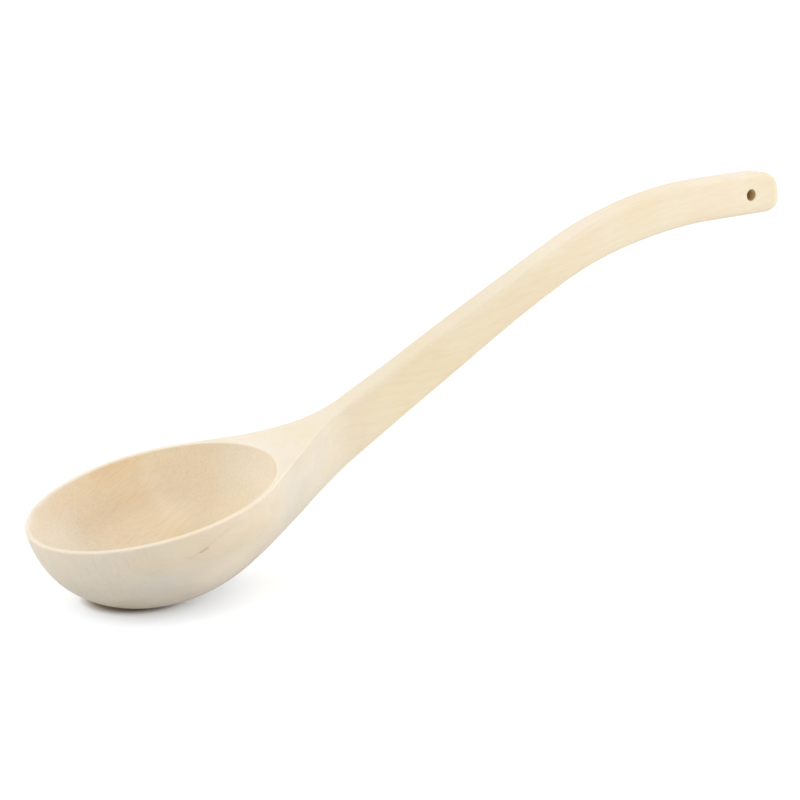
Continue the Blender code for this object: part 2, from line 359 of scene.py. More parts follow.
def edge_round(x):
    """Radius of the long top edges, from the lip's to the neck's, the middle's and the end's."""
    grow = (NECK_EDGE_ROUND - LIP_ROUND) * ease((x - BOWL_RADIUS) / EDGE_ROUND_RUN)
    tighten = (MIDDLE_EDGE_ROUND - NECK_EDGE_ROUND) * ease((x - NECK_EDGE_END) / NECK_EDGE_RUN)
    soften = (END_EDGE_ROUND - MIDDLE_EDGE_ROUND) * ease((x - END_EDGE_START) / END_EDGE_RUN)
    return LIP_ROUND + grow + tighten + soften


def sections():
    """Handle's half of the bowl, neck and handle: sections square to x, from keel to mouth or middle.

    The side is a superellipse, as full as the bowl at the bowl and squarer along the
    handle. A quarter round leads to the flat top, which ends at the mouth's circle or,
    past the bowl, at the middle line.
    """
    mouth, beyond = stations()
    x = np.concatenate([mouth, beyond])[:, None]
    top = rim_height(x)
    bottom = underside(x) + corner(x, LADLE_REACH, TIP_BOTTOM_ROUND)
    width = half_width(x) - corner(x, LADLE_REACH, TIP_SIDE_ROUND)
    most = np.minimum(EDGE_SHARE_OF_WIDTH * width, EDGE_SHARE_OF_DEPTH * (top - bottom))
    edge = np.minimum(edge_round(x), most)
    squaring = ease((x - SQUARING_START) / SQUARING_LENGTH)
    fullness = BOWL_FULLNESS_ACROSS + (HANDLE_FULLNESS - BOWL_FULLNESS_ACROSS) * squaring
    out, down = side_shape(side_angles()[None, :] + 0.0 * x, fullness)
    side = (width * out, top - edge - (top - edge - bottom) * down)
    turn = np.linspace(0.0, 0.5 * pi, EDGE_STEPS + 1)[None, 1:]
    rounded = (width - edge * (1.0 - np.cos(turn)), top - edge * (1.0 - np.sin(turn)))
    inner = np.sqrt(np.clip((HOLLOW_RADIUS + INNER_LIP_WIDTH) ** 2 - x**2, 0.0, None))
    inner[len(mouth) - 1 :] = 0.0
    start = width - edge
    flat = (start + (inner - start) * top_shares()[None, :], top + 0.0 * top_shares()[None, :])
    y = np.concatenate([side[0], rounded[0], flat[0]], axis=1)
    z = np.concatenate([side[1], rounded[1], flat[1]], axis=1)
    return np.stack([x + 0.0 * y, y, z], axis=-1)


def tip_cap(last):
    """Flat end of the handle: the last section drawn in to its middle in even steps."""
    middle = np.array([last[0, 0], 0.0, 0.5 * (last[0, 2] + last[-1, 2])])
    shares = np.linspace(1.0, 0.0, CAP_STEPS + 1)[1:, None, None]
    return middle + (last[None, :, :] - middle) * shares


def hollow(mouth_edge):
    """Inside of the bowl: columns round the rim's middle, from the mouth to the deepest point.

    Each column is a quarter round over the inner lip, then a superellipse down to the middle.
    What the mouth's edge stands off the rim's plane dies away over its first rows.
    """
    bearing = np.arctan2(mouth_edge[:, 1], mouth_edge[:, 0])[:, None]
    lip_width, lip_depth = inner_lip(bearing)
    turn = np.linspace(0.0, 0.5 * pi, EDGE_STEPS + 1)[None, 1:]
    lip_radius = HOLLOW_RADIUS + lip_width * (1.0 - np.sin(turn))
    lip_height = -lip_depth * (1.0 - np.cos(turn))
    out, down = side_shape(np.linspace(0.0, 0.5 * pi, HOLLOW_STEPS + 1)[1:], HOLLOW_FULLNESS)
    wall_radius = HOLLOW_RADIUS * out + 0.0 * bearing
    wall_height = -lip_depth - (HOLLOW_DEPTH - lip_depth) * down
    radius = np.concatenate([lip_radius, wall_radius], axis=1)
    height = np.concatenate([lip_height, wall_height], axis=1)
    settle = np.exp(-np.arange(height.shape[1]) / EDGE_STEPS)
    height = height + mouth_edge[:, 2:] * settle
    rows = np.stack([radius * np.cos(bearing), radius * np.sin(bearing), height], axis=-1)
    return np.concatenate([mouth_edge[:, None, :], rows], axis=1)


def grid_faces(rows, columns, first):
    """Quads of a grid whose points are numbered along its columns, from this first number on."""
    number = first + np.arange(rows * columns).reshape(rows, columns)
    corners = (number[:-1, :-1], number[1:, :-1], number[1:, 1:], number[:-1, 1:])
    return np.stack([c.ravel() for c in corners], axis=-1)


def closed_mesh(name, points, faces):
    """Mesh of these points and faces, with its seams and poles welded and its faces outward."""
    mesh = bpy.data.meshes.new(name)
    mesh.from_pydata(points.tolist(), [], faces.tolist())
    work = bmesh.new()
    work.from_mesh(mesh)
    bmesh.ops.remove_doubles(work, verts=work.verts, dist=WELD_DISTANCE)
    bmesh.ops.recalc_face_normals(work, faces=work.faces)
    work.to_mesh(mesh)
    work.free()
    return mesh


def mirrored_mesh(name, grids):
    """Closed mesh of these grids and their mirror images across the ladle."""
    points = []
    faces = []
    total = 0
    for grid in grids:
        for side in (1.0, -1.0):
            points.append((grid * np.array([1.0, side, 1.0])).reshape(-1, 3))
            quads = grid_faces(grid.shape[0], grid.shape[1], total)
            faces.append(quads[:, ::-1] if side < 0.0 else quads)
            total += grid.shape[0] * grid.shape[1]
    return closed_mesh(name, stand(np.concatenate(points)), np.concatenate(faces))


def add_object(name, mesh):
    """A new object of this mesh, at the origin of the scene."""
    piece = bpy.data.objects.new(name, mesh)
    bpy.context.scene.collection.objects.link(piece)
    return piece


def hole_axis():
    """Middle of the hanging hole at the finished place."""
    x = LADLE_REACH - HOLE_FROM_TIP
    z = float(top_line(x)) - HOLE_DOWN_FROM_TOP
    return stand(np.array([x, 0.0, z]))


def hole_drill():
    """Cutter for the hanging hole: turned about its axis, flared a little where it meets the sides."""
    side = float(half_width(LADLE_REACH - HOLE_FROM_TIP))
    turn = np.linspace(0.0, 0.5 * pi, HOLE_EDGE_STEPS + 1)
    flare_y = side - HOLE_EDGE_ROUND * (1.0 - np.sin(turn))
    flare_r = HOLE_RADIUS + HOLE_EDGE_ROUND * (1.0 - np.cos(turn))
    y = np.concatenate([flare_y, [DRILL_REACH * side]])
    r = np.concatenate([flare_r, flare_r[-1:]])
    y = np.concatenate([-y[::-1], y])
    r = np.concatenate([r[::-1], r])
    bearing = np.linspace(0.0, 2.0 * pi, HOLE_SIDES + 1)[:, None]
    middle = hole_axis()
    x = middle[0] + r[None, :] * np.cos(bearing)
    z = middle[2] + r[None, :] * np.sin(bearing)
    tube = np.stack([x, y[None, :] + 0.0 * x, z], axis=-1)
    ends = np.stack([middle + [0.0, y[0], 0.0], middle + [0.0, y[-1], 0.0]])
    first = np.repeat(ends[None, :1], HOLE_SIDES + 1, axis=0)
    last = np.repeat(ends[None, 1:], HOLE_SIDES + 1, axis=0)
    grid = np.concatenate([first, tube, last], axis=1)
    faces = grid_faces(grid.shape[0], grid.shape[1], 0)
    return add_object("hole_drill", closed_mesh("hole_drill", grid.reshape(-1, 3), faces))


def drill_hole(piece):
    """Cuts the hanging hole through the piece for good."""
    drill = hole_drill()
    cut = piece.modifiers.new("hole", "BOOLEAN")
    cut.operation = "DIFFERENCE"
    cut.solver = "EXACT"
    cut.object = drill
    bpy.context.view_layer.update()
    finished = bpy.data.meshes.new_from_object(piece.evaluated_get(bpy.context.evaluated_depsgraph_get()))
    piece.modifiers.clear()
    piece.data = finished
    bpy.data.objects.remove(drill)


def mark_regions(mesh):
    """Shares of each point in the hollow, the bowl's wall and the handle's flanks, kept as a colour.

    The hollow's surface is where its own superellipse measures 1; the wall lies outside it.
    The flanks take over from the wall along the neck. Across the handle their share grows from
    the top's to 1 by the smooth step of the depth under the top less the way in from the side.
    The top's own share dies away by a smooth step along the handle.
    """
    points = np.empty(3 * len(mesh.vertices), dtype=np.float32)
    mesh.vertices.foreach_get("co", points)
    x, y, z = lay_back(points.reshape(-1, 3).astype(float)).T
    measure = (np.hypot(x, y) / HOLLOW_RADIUS) ** HOLLOW_FULLNESS
    measure = measure + (np.clip(-z, 0.0, None) / HOLLOW_DEPTH) ** HOLLOW_FULLNESS
    hollowed = ease((HOLLOW_MEASURE_END - measure) / HOLLOW_MEASURE_RUN)
    hollowed = np.where(x < BOWL_RADIUS, hollowed * ease(-z / LIP_ROUND), 0.0)
    under_lip = ease((top_line(x) - z - WALL_START) / WALL_RUN)
    over_edge = top_line(x) - z - (half_width(x) - np.abs(y))
    under_edge = ease((over_edge + FLANK_SPREAD) / (2.0 * FLANK_SPREAD))
    on_top = FLANK_SHARE_ON_TOP * (1.0 - ease((x - TOP_SHARE_KEPT) / TOP_SHARE_RUN))
    under_edge = on_top + (1.0 - on_top) * under_edge
    handle = ease((x - FLANK_FROM) / FLANK_TAKEOVER)
    wall = (1.0 - hollowed) * under_lip * (1.0 - handle)
    shares = np.stack([hollowed, wall, under_edge * handle, np.ones_like(x)])
    regions = mesh.attributes.new("regions", "FLOAT_COLOR", "POINT")
    regions.data.foreach_set("color", shares.T.astype(np.float32).ravel())


def carve_ladle():
    """The whole ladle as one closed surface: bowl, neck, handle, hollow and hanging hole."""
    fan = bowl_fan()
    body = sections()
    outside = np.concatenate([fan, body, tip_cap(body[-1])])
    mouth_edge = outside[: 2 * BOWL_STEPS + 1, -1]
    piece = add_object("carved_ladle", mirrored_mesh("carved_ladle", [outside, hollow(mouth_edge)]))
    drill_hole(piece)
    piece.data.shade_smooth()
    piece.data.set_sharp_from_angle(angle=SMOOTH_ANGLE)
    mark_regions(piece.data)
    return piece


# Which sockets of a Mix node hold its two colours, and which gives the mixed colour
MIX_COLOURS = (6, 7)
MIX_RESULT = 2


class Socket:
    """An output of a material's nodes. Sums and products of sockets add the nodes that work them out."""

    def __init__(self, tree, output):
        self.tree = tree
        self.output = output

    def node(self, kind, settings, inputs, result=0):
        """Adds a node of this kind: its settings first, then the values or links of its inputs."""
        node = self.tree.nodes.new(kind)
        for name, value in settings.items():
            if name == "stops":
                set_stops(node.color_ramp, value)
            else:
                setattr(node, name, value)
        for name, value in inputs.items():
            if isinstance(value, Socket):
                self.tree.links.new(value.output, node.inputs[name])
            else:
                node.inputs[name].default_value = value
        return Socket(self.tree, node.outputs[result])

    def math(self, operation, *values):
        """A value worked out by a Math node."""
        return self.node("ShaderNodeMath", {"operation": operation}, dict(enumerate(values)))

    def __add__(self, other):
        return self.math("ADD", self, other)

    def __radd__(self, other):
        return self.math("ADD", other, self)

    def __sub__(self, other):
        return self.math("SUBTRACT", self, other)

    def __rsub__(self, other):
        return self.math("SUBTRACT", other, self)

    def __mul__(self, other):
        return self.math("MULTIPLY", self, other)

    def __rmul__(self, other):
        return self.math("MULTIPLY", other, self)

    def __truediv__(self, other):
        return self.math("DIVIDE", self, other)

    def __rtruediv__(self, other):
        return self.math("DIVIDE", other, self)

    def __pow__(self, other):
        return self.math("POWER", self, other)

    def at_least(self, low):
        """This value, or the low one where that is greater."""
        return self.math("MAXIMUM", self, low)

    def vector(self, operation, other, result="Vector"):
        """A sum, product or measure of this place and another."""
        return self.node("ShaderNodeVectorMath", {"operation": operation}, {0: self, 1: other}, result)

    def length(self):
        """How long the way is that this place stands for."""
        return self.node("ShaderNodeVectorMath", {"operation": "LENGTH"}, {0: self}, "Value")

    def step(self, low, high):
        """Smooth step of a value, from 0 at low to 1 at high."""
        settings = {"interpolation_type": "SMOOTHSTEP"}
        return self.node("ShaderNodeMapRange", settings, {0: self, 1: low, 2: high, 3: 0.0, 4: 1.0})

    def mix(self, colour, other, blend="MIX"):
        """The colour where this mask is 0, the other where it is 1."""
        settings = {"data_type": "RGBA", "blend_type": blend}
        colours = [c if isinstance(c, Socket) else (*c, 1.0) for c in (colour, other)]
        first, second = MIX_COLOURS
        inputs = {0: self, first: colours[0], second: colours[1]}
        return self.node("ShaderNodeMix", settings, inputs, MIX_RESULT)

    def tint(self, colour, other):
        """The colour multiplied by the other, as far as this mask says."""
        return self.mix(colour, other, "MULTIPLY")

    def scaled(self, x, y, z):
        """A place stretched along its own axes."""
        return self.vector("MULTIPLY", (x, y, z))

    def ramp(self, stops):
        """The colour that lies at this value, between stops that each have a position and a colour."""
        return self.node("ShaderNodeValToRGB", {"stops": stops}, {"Fac": self})

    def noise(self, scale, detail=2.0, roughness=0.5):
        """Soft noise around 0.5 at this place, at so many waves to the metre."""
        inputs = {"Vector": self, "Scale": scale, "Detail": detail, "Roughness": roughness}
        return self.node("ShaderNodeTexNoise", {"noise_dimensions": "3D"}, inputs)

    def axes(self):
        """The three values that a place is made of."""
        node = self.tree.nodes.new("ShaderNodeSeparateXYZ")
        self.tree.links.new(self.output, node.inputs[0])
        return [Socket(self.tree, output) for output in node.outputs]


def set_stops(ramp, stops):
    """Gives a ramp its stops, each a position and a colour."""
    while len(ramp.elements) < len(stops):
        ramp.elements.new(1.0)
    for element, (position, colour) in zip(ramp.elements, stops):
        element.position = position
        element.color = (*colour, 1.0)


def new_material(name):
    """A material with one Principled BSDF, and a start for its nodes."""
    material = bpy.data.materials.new(name)
    material.use_nodes = True
    shader = material.node_tree.nodes["Principled BSDF"]
    return material, shader, Socket(material.node_tree, None)


def plank_place(start):
    """Object coordinates turned into the rim's frame, which the wood's grain follows."""
    place = rim_place()
    turned = Matrix.Rotation(RIM_TILT, 3, "Y") @ Vector(-place)
    coordinates = start.node("ShaderNodeTexCoord", {}, {}, "Object")
    inputs = {"Vector": coordinates, "Location": tuple(turned), "Rotation": (0.0, RIM_TILT, 0.0)}
    return coordinates, start.node("ShaderNodeMapping", {"vector_type": "POINT"}, inputs)


# Wood colours: the bare top, then tints for the lip, the bowl's wall and the handle's flanks, where the
# wall's and the flanks' tints are partly painted shade.
# A pair of places says where a tint starts to take over and where it is full.
WOOD_COLOUR = (0.900, 0.815, 0.675)
LIP_TINT = (0.985, 0.955, 0.935)
LIP_FADE = (-0.015, -0.045)
# The bowl's outer wall: greyer than the top, partly the wood and partly painted shade on the wall, which
# faces down and out
WALL_TINT_AND_SHADE = (0.825, 0.815, 0.805)
# Painted shade: the bowl's wall darker and cooler towards its foot, near the floor
WALL_FOOT_SHADE = (0.880, 0.900, 0.930)
WALL_FOOT = (-0.006, -0.042)
# Handle's flanks: darker and yellower than the top, partly the wood and partly painted shade, and lighter
# towards the end as painted light
NEAR_FLANK_TINT_AND_SHADE = (0.903, 0.872, 0.768)
FAR_FLANK_TINT_SHADE_AND_LIGHT = (0.934, 0.909, 0.840)
FLANK_FADE = (0.180, 0.360)

# Tint of the hollow, by the share of the way from its toe to the handle's side: the wood's colour, with
# painted light making both ends paler and greyer
HOLLOW_TINTS_AND_LIGHT = (
    (0.00, (0.915, 0.905, 0.915)),
    (0.20, (0.908, 0.895, 0.900)),
    (0.46, (0.912, 0.846, 0.748)),
    (0.65, (0.932, 0.884, 0.795)),
    (0.86, (0.912, 0.876, 0.806)),
    (0.97, (0.912, 0.915, 0.912)),
)

# Stains in the wood and patches of painted light: the middle and the reach of each along the rim's axes,
# then its tint
STAINS_AND_PAINTED_LIGHT = (
    # in the hollow
    ((0.006, 0.056, -0.003), (0.022, 0.012, 0.010), (0.985, 0.935, 0.865)),
    ((-0.030, 0.048, -0.006), (0.022, 0.014, 0.008), (0.990, 0.960, 0.915)),
    # Painted light: the deep far wall of the hollow, shaded by the near wall, made much paler
    ((0.004, 0.036, -0.032), (0.045, 0.024, 0.017), (1.145, 1.165, 1.190)),
    ((0.008, 0.051, -0.016), (0.014, 0.020, 0.009), (1.025, 1.000, 0.960)),
    ((-0.038, 0.032, -0.021), (0.022, 0.022, 0.016), (1.080, 1.095, 1.130)),
    ((0.040, 0.014, -0.031), (0.022, 0.018, 0.014), (1.060, 1.055, 1.040)),
    # Painted light: a paler band just under the far lip
    ((0.025, 0.052, -0.003), (0.035, 0.030, 0.006), (1.020, 1.030, 1.045)),
    ((0.013, 0.033, -0.033), (0.011, 0.012, 0.009), (1.000, 0.972, 0.940)),
    ((0.019, 0.048, -0.017), (0.006, 0.020, 0.015), (1.020, 1.040, 1.080)),
    ((-0.050, 0.025, -0.006), (0.010, 0.020, 0.014), (1.045, 1.075, 1.140)),
    # on the near wall of the bowl
    ((0.000, -0.057, -0.005), (0.075, 0.030, 0.018), (0.992, 0.960, 0.904)),
    ((0.020, -0.053, -0.013), (0.026, 0.014, 0.012), (0.995, 0.990, 0.940)),
    ((-0.026, -0.047, -0.020), (0.017, 0.014, 0.008), (0.965, 0.985, 1.025)),
    # Painted light: a paler patch on the near side of the bowl
    ((0.004, -0.048, -0.027), (0.024, 0.016, 0.014), (1.110, 1.090, 1.070)),
    ((-0.034, -0.028, -0.032), (0.014, 0.012, 0.006), (0.985, 0.945, 0.890)),
    ((-0.035, -0.035, -0.015), (0.050, 0.045, 0.040), (0.972, 0.980, 0.988)),
    # on the neck and the handle
    ((0.058, -0.030, -0.012), (0.040, 0.024, 0.018), (0.950, 0.970, 0.995)),
    ((0.060, -0.012, 0.001), (0.014, 0.028, 0.006), (1.000, 1.012, 1.058)),
    ((0.080, -0.013, -0.007), (0.012, 0.010, 0.012), (0.955, 0.980, 1.015)),
    ((0.155, 0.000, 0.018), (0.120, 0.030, 0.060), (0.968, 0.955, 0.940)),
    ((0.305, 0.000, 0.049), (0.060, 0.020, 0.006), (1.000, 0.970, 0.940)),
)

# Share of its reach within which a stain or patch of painted light has its full tint
PATCH_CORE = 0.25

# Growth rings: round a pith to one side and under the ladle, drawn out along the grain
PITH_ACROSS = -0.120
PITH_BELOW = 0.060
RING_SPACING = 0.0024
RING_DRIFT = 0.0140
RING_DRIFT_WAVES = 9.0
RING_DRIFT_STRETCH = 3.0
RING_DRIFT_DETAIL = 3.0
RING_LATE = (0.52, 0.92)
RING_STRENGTH = 0.80
RING_TINT = (0.984, 0.972, 0.950)
RING_FADE_ON_BOWL = 0.7
GRAIN_BEND = 0.9
GRAIN_STRAIGHT_FROM = 0.200
HOLLOW_GRAIN_TURN = radians(17.0)

# Fibres, streaks, pores and clouds: waves to the metre, and how far each is drawn out along the grain
FIBRE_WAVES = 14.0
FIBRE_STRETCH = 38.0
FIBRE_DETAIL = 5.0
FIBRE_BREAKUP = 0.65
FIBRE_RANGE = (0.54, 0.70)
FIBRE_TINT = (0.993, 0.988, 0.978)
STREAK_WAVES = 9.0
STREAK_STRETCH = 20.0
STREAK_DETAIL = 3.0
STREAK_RANGE = (0.46, 0.70)
STREAK_TINT = (0.995, 0.989, 0.977)
FINE_WAVES = 110.0
FINE_STRETCH = 9.0
FINE_RANGE = (0.45, 0.80)
FINE_TINT = (0.970, 0.957, 0.938)
PORE_WAVES = 420.0
PORE_STRETCH = 9.0
PORE_DETAIL = 1.0
PORE_BREAKUP = 0.4
PORE_RANGE = (0.68, 0.78)
PORE_STRENGTH = 0.30
PORE_TINT = (0.880, 0.830, 0.760)
CLOUD_WAVES = 22.0
CLOUD_YELLOW = (0.48, 0.72)
CLOUD_PINK = (0.52, 0.30)
YELLOW_CLOUD = (0.985, 0.968, 0.915)
PINK_CLOUD = (1.000, 0.970, 0.950)
MOTTLE_WAVES = 70.0
MOTTLE_STRETCH = 1.8
MOTTLE_RANGE = (0.42, 0.66)
GREY_CLOUD = (0.972, 0.979, 0.994)

# Marks left by work: arcs of the hollowing cutter at the toe, fibres torn open in the hollow,
# and sanding strokes on the toe's outside
CUTTER_WAVES = 3600.0
CUTTER_WANDER = 0.003
CUTTER_FADE = (0.015, -0.030)
CUTTER_TINT = (0.986, 0.980, 0.968)
TORN_WAVES = 90.0
TORN_STRETCH = 14.0
TORN_RANGE = (0.46, 0.58)
TORN_TINT = (0.966, 0.949, 0.922)
STROKE_WAVES = 30.0
STROKE_STRETCH = 26.0
STROKE_RANGE = (0.50, 0.72)
STROKE_TINT = (0.970, 0.955, 0.944)
STROKE_FADE = (-0.015, -0.040)

# A fleck on the near wall and the fine check through it, by their x and z in the rim's frame
FLECK_ENDS = ((-0.0093, -0.0100), (-0.0045, -0.0088))
FLECK_HALF_WIDTH = 0.00075
FLECK_TINT = (0.740, 0.685, 0.615)
CHECK_ENDS = ((-0.0155, -0.0118), (0.0105, -0.0026))
CHECK_HALF_WIDTH = 0.00075
CHECK_TINT = (0.955, 0.938, 0.910)
MARK_LEAST_TAPER = 0.01
NEAR_WALL = (-0.030, -0.040)

# Sheen and relief of the sanded surface, and the darker wall of the drilled hole: brown from the drill's
# burn, with painted shade darker from the near mouth inwards
SANDED_ROUGHNESS = 0.60
FINE_ROUGHNESS = 0.10
RELIEF_HEIGHT = 0.0003
RELIEF_STRENGTH = 0.12
FIBRE_RELIEF = 0.5
FINE_RELIEF = 0.35
PORE_RELIEF = 0.3
CUTTER_RELIEF = 0.2
SPECULAR_LEVEL = 0.30
DRILLED_MOUTH = (0.640, 0.490, 0.235)
DRILLED_DEPTH_SHADE = (0.380, 0.215, 0.080)
DRILLED_SHADE_RUN = (-0.0060, 0.0010)
DRILLED_SHARE_OF_EDGE = 0.3


def grain_place(start, plank, hollowed):
    """Place in the plank with the grain's bend taken out, so that fibres run straight along x.

    Inside the hollow the cut lays the fibres open in another direction, turned up from x.
    """
    x, y, z = plank.axes()
    bend = GRAIN_BEND * (GRAIN_STRAIGHT_FROM - x).at_least(0.0) ** 2.0
    straight = start.node("ShaderNodeCombineXYZ", {}, {"X": x, "Y": y, "Z": z - bend})
    inputs = {"Vector": plank, "Rotation": (0.0, HOLLOW_GRAIN_TURN, 0.0)}
    turned = start.node("ShaderNodeMapping", {"vector_type": "POINT"}, inputs)
    return hollowed.mix(straight, turned)


def drawn_out(place, stretch):
    """A place squeezed across the grain, so that a pattern read there is drawn out along it."""
    return place.scaled(1.0, stretch, stretch)


def growth_rings(grain):
    """Mask of the late wood: a soft dark line at the end of each year's ring round the pith."""
    _, y, z = grain.axes()
    across = y + PITH_ACROSS
    up = z + PITH_BELOW
    drift = drawn_out(grain, RING_DRIFT_STRETCH).noise(RING_DRIFT_WAVES, RING_DRIFT_DETAIL) - 0.5
    turns = ((across * across + up * up) ** 0.5 + drift * RING_DRIFT) / RING_SPACING
    share = turns.math("FRACT", turns)
    return share.step(*RING_LATE) * (1.0 - share.step(RING_LATE[1], 1.0)) * RING_STRENGTH


def region_shares(start):
    """The three shares kept on the mesh: hollow, wall of the bowl, flanks of the handle."""
    return start.node("ShaderNodeAttribute", {"attribute_name": "regions"}, {}, "Color").axes()


def region_colour(regions, plank):
    """The colour in each region, before its grain: the wood's own, with painted shade on the bowl's wall,
    darker towards its foot, painted shade and light on the handle's flanks, and painted light at the ends of
    the hollow.
    """
    hollowed, wall, flank = regions
    along = plank.axes()[0]
    share = (along + HOLLOW_RADIUS) * (0.5 / HOLLOW_RADIUS)
    # Hollow: wood colour with painted light at both ends
    colour = hollowed.tint(WOOD_COLOUR, share.ramp(HOLLOW_TINTS_AND_LIGHT))
    lip = (1.0 - hollowed - wall - flank).at_least(0.0) * along.step(*LIP_FADE)
    colour = lip.tint(colour, LIP_TINT)
    # Bowl's wall: greyer wood and partly painted shade
    colour = wall.tint(colour, WALL_TINT_AND_SHADE)
    # Painted shade, darker towards the foot of the bowl's wall
    colour = (wall * plank.axes()[2].step(*WALL_FOOT)).tint(colour, WALL_FOOT_SHADE)
    # Flanks: partly painted shade, lightening towards the end as painted light
    return flank.tint(colour, along.step(*FLANK_FADE).mix(NEAR_FLANK_TINT_AND_SHADE, FAR_FLANK_TINT_SHADE_AND_LIGHT))


def add_stains_and_painted_light(colour, plank):
    """Each stain or patch of painted light multiplies the colour by its tint, fading out over an ellipsoid.
    """
    for middle, reach, tint in STAINS_AND_PAINTED_LIGHT:
        offset = plank.vector("SUBTRACT", middle).scaled(*[1.0 / r for r in reach])
        colour = offset.length().step(1.0, PATCH_CORE).tint(colour, tint)
    return colour


def near_line(plank, wall, ends, half_width):
    """Mask of a thin mark on the near wall: full on the straight line between two ends, nothing
    at this distance from it, and drawn out to a point at both ends.
    """
    first = Vector((ends[0][0], 0.0, ends[0][1]))
    along = Vector((ends[1][0], 0.0, ends[1][1])) - first
    offset = plank.scaled(1.0, 0.0, 1.0).vector("SUBTRACT", tuple(first))
    share = offset.vector("DOT_PRODUCT", tuple(along / along.length_squared), "Value")
    held = share.math("MINIMUM", share.at_least(0.0), 1.0)
    nearest = held.node("ShaderNodeVectorMath", {"operation": "SCALE"}, {0: tuple(along), "Scale": held})
    away = offset.vector("SUBTRACT", nearest).length()
    taper = (4.0 * held * (1.0 - held)) ** 0.5
    near = wall * plank.axes()[1].step(*NEAR_WALL)
    return (away / taper.at_least(MARK_LEAST_TAPER)).step(half_width, 0.0) * near


def hole_wall(coordinates):
    """Mask of the hanging hole's wall: 1 at the drilled radius, 0 at the outside of its edge."""
    middle = hole_axis()
    x, _, z = coordinates.axes()
    off_x = x - float(middle[0])
    off_z = z - float(middle[2])
    away = (off_x * off_x + off_z * off_z) ** 0.5
    drilled = HOLE_RADIUS + DRILLED_SHARE_OF_EDGE * HOLE_EDGE_ROUND
    return 1.0 - away.step(drilled, HOLE_RADIUS + HOLE_EDGE_ROUND)


def add_grain(colour, plank, grain, hollowed, wall):
    """The colour tinted by clouds, rings, fibres, streaks and pores, and four of these patterns."""
    fibre = drawn_out(grain, FIBRE_STRETCH).noise(FIBRE_WAVES, FIBRE_DETAIL, FIBRE_BREAKUP)
    streak = drawn_out(grain, STREAK_STRETCH).noise(STREAK_WAVES, STREAK_DETAIL)
    fine = drawn_out(grain, FINE_STRETCH).noise(FINE_WAVES)
    pores = drawn_out(grain, PORE_STRETCH).noise(PORE_WAVES, PORE_DETAIL, PORE_BREAKUP).step(*PORE_RANGE)
    cloud = plank.noise(CLOUD_WAVES)
    mottle = drawn_out(plank, MOTTLE_STRETCH).noise(MOTTLE_WAVES).step(*MOTTLE_RANGE)
    colour = cloud.step(*CLOUD_YELLOW).tint(colour, YELLOW_CLOUD)
    colour = cloud.step(*CLOUD_PINK).tint(colour, PINK_CLOUD)
    colour = (wall * mottle).tint(colour, GREY_CLOUD)
    rings = growth_rings(grain) * (1.0 - hollowed) * (1.0 - wall * RING_FADE_ON_BOWL)
    colour = rings.tint(colour, RING_TINT)
    colour = fibre.step(*FIBRE_RANGE).tint(colour, FIBRE_TINT)
    colour = streak.step(*STREAK_RANGE).tint(colour, STREAK_TINT)
    colour = fine.step(*FINE_RANGE).tint(colour, FINE_TINT)
    colour = (pores * PORE_STRENGTH).tint(colour, PORE_TINT)
    return colour, fibre, fine, pores, cloud


def add_tool_marks(colour, plank, grain, cloud, hollowed, wall):
    """The colour tinted by the cutter's arcs, torn fibres and sanding strokes, and the arcs.

    The arcs are a sine of the height in the hollow, which the clouds shake a little.
    """
    along, _, height = plank.axes()
    ripple = (height + (cloud - 0.5) * CUTTER_WANDER) * CUTTER_WAVES
    arcs = (0.5 + 0.5 * ripple.math("SINE", ripple)) * hollowed * along.step(*CUTTER_FADE)
    colour = arcs.tint(colour, CUTTER_TINT)
    torn = drawn_out(grain, TORN_STRETCH).noise(TORN_WAVES).step(*TORN_RANGE) * hollowed
    colour = torn.tint(colour, TORN_TINT)
    strokes = plank.scaled(STROKE_STRETCH, STROKE_STRETCH, 1.0).noise(STROKE_WAVES).step(*STROKE_RANGE)
    colour = (strokes * wall * along.step(*STROKE_FADE)).tint(colour, STROKE_TINT)
    return colour, arcs


def wood_material():
    """Bare sanded wood: faint rings, fibres and clouds, tinted by region, with the marks of work, and with
    painted shade and light on the bowl's wall, the flanks and the hollow.
    """
    material, shader, start = new_material("pale_wood")
    coordinates, plank = plank_place(start)
    regions = region_shares(start)
    hollowed, wall, _ = regions
    grain = grain_place(start, plank, hollowed)
    colour = add_stains_and_painted_light(region_colour(regions, plank), plank)
    colour, fibre, fine, pores, cloud = add_grain(colour, plank, grain, hollowed, wall)
    colour, arcs = add_tool_marks(colour, plank, grain, cloud, hollowed, wall)
    colour = near_line(plank, wall, CHECK_ENDS, CHECK_HALF_WIDTH).tint(colour, CHECK_TINT)
    fleck = near_line(plank, wall, FLECK_ENDS, FLECK_HALF_WIDTH)
    colour = fleck.tint(colour, FLECK_TINT)
    # Hole's wall: burnt brown, with painted shade darker from the near mouth inwards
    drilled = plank.axes()[1].step(*DRILLED_SHADE_RUN).mix(DRILLED_MOUTH, DRILLED_DEPTH_SHADE)
    colour = hole_wall(coordinates).mix(colour, drilled)
    material.node_tree.links.new(colour.output, shader.inputs["Base Color"])
    rough = SANDED_ROUGHNESS + fine * FINE_ROUGHNESS
    material.node_tree.links.new(rough.output, shader.inputs["Roughness"])
    relief = FIBRE_RELIEF * fibre + FINE_RELIEF * fine - PORE_RELIEF * pores + CUTTER_RELIEF * arcs - fleck
    inputs = {"Strength": RELIEF_STRENGTH, "Distance": RELIEF_HEIGHT, "Height": relief}
    bump = start.node("ShaderNodeBump", {}, inputs)
    material.node_tree.links.new(bump.output, shader.inputs["Normal"])
    shader.inputs["Specular IOR Level"].default_value = SPECULAR_LEVEL
    return material


